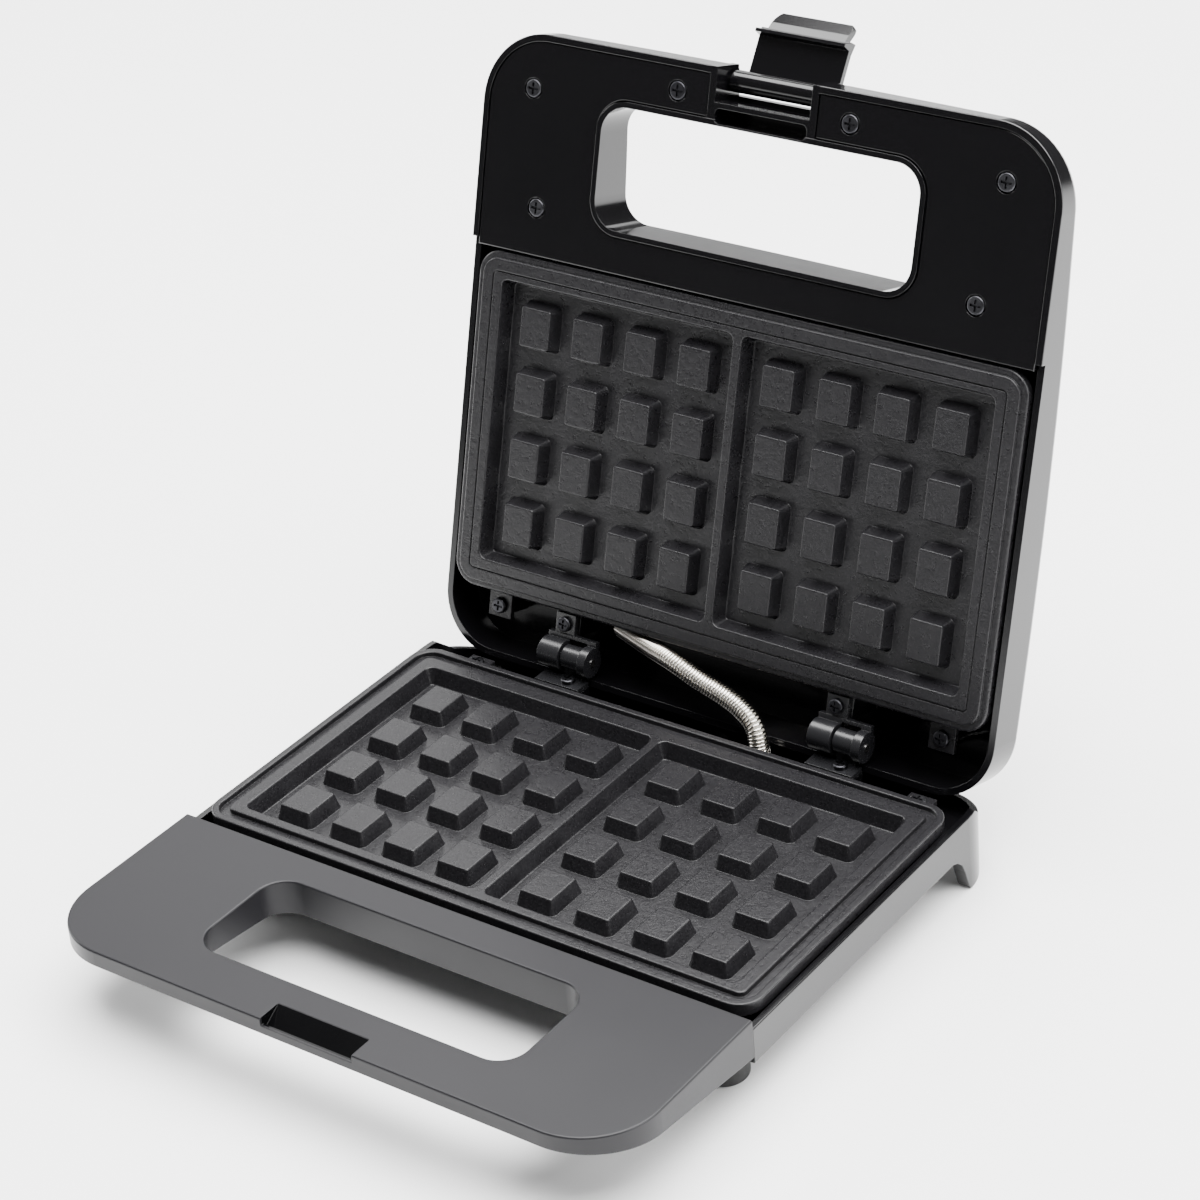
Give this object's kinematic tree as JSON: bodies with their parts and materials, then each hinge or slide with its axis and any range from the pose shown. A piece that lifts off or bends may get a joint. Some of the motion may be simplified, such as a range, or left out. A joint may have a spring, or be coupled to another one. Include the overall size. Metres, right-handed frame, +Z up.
{
  "type": "waffle maker",
  "caption": "Hinged two-slice waffle maker with pegged cooking plates, hand openings in lid and base, a front clip latch and a sprung wire conduit.",
  "frame": {"origin": "on the table, under the middle of the open appliance's outer box", "axes": "+Z up, -Y towards the handles at the front, +X to the right seen from the front; the lid is open at rest"},
  "size_m": [0.232, 0.3164, 0.255],
  "materials": {
    "housing": "glossy black ABS",
    "cooking_plate": "cast, dark speckled non-stick coating",
    "screws": "black zinc",
    "heater": "heat-tinted sheath",
    "bright_metal": "plain steel sheet",
    "ceramic": "off-white",
    "dark_plastic": "matt black",
    "foot_rubber": "matt black",
    "wire": "glass-braid sleeve",
    "hinge_black": "satin black",
    "conduit": "tight wound spring steel",
    "power_window": "clear red",
    "ready_window": "clear green",
    "lamp_glass": "clear"
  },
  "bodies": {
    "base": {"base_shell": "housing", "base_handle_cover": "housing", "base_cover_screws": "screws", "lower_plate": "cooking_plate", "lower_element": "heater", "lower_element_pins": "bright_metal", "lower_reflector": "bright_metal", "lower_element_clamps": "bright_metal", "lower_plate_screws": "screws", "thermostat": "ceramic", "thermostat_bracket": "bright_metal", "thermostat_screws": "screws", "thermal_fuse": "ceramic", "terminal_block": "ceramic", "cord_gland": "dark_plastic", "cord_clamp": "dark_plastic", "front_foot_left": "foot_rubber", "front_foot_right": "foot_rubber", "lower_leads": "wire", "hinge_base_left": "hinge_black", "hinge_base_right": "hinge_black", "hinge_base_screws": "screws", "hinge_pins": "bright_metal", "wire_conduit": "conduit"},
    "lid": {"lid_shell": "housing", "lid_handle_cover": "housing", "lid_cover_screws": "screws", "upper_plate": "cooking_plate", "upper_element": "heater", "upper_element_pins": "bright_metal", "upper_reflector": "bright_metal", "upper_element_clamps": "bright_metal", "upper_plate_screws": "screws", "hinge_lid_left": "hinge_black", "hinge_lid_right": "hinge_black", "hinge_lid_screws": "screws", "power_lens": "power_window", "ready_lens": "ready_window", "indicator_lamps": "lamp_glass", "latch_pin": "bright_metal"},
    "latch": {"latch": "housing"}
  },
  "joints": [
    {"name": "lid_hinge", "type": "hinge", "parent": "base", "child": "lid", "pos_m": [0, 0.06277, 0.0346], "axis": [1, 0, 0], "range_deg": [0, 106.3], "deforming": ["wire_conduit"]},
    {"name": "latch_hinge", "type": "hinge", "parent": "lid", "child": "latch", "pos_m": [0, 0.1325, 0.23884], "axis": [1, 0, 0], "range_deg": [0, 108.5]}
  ]
}
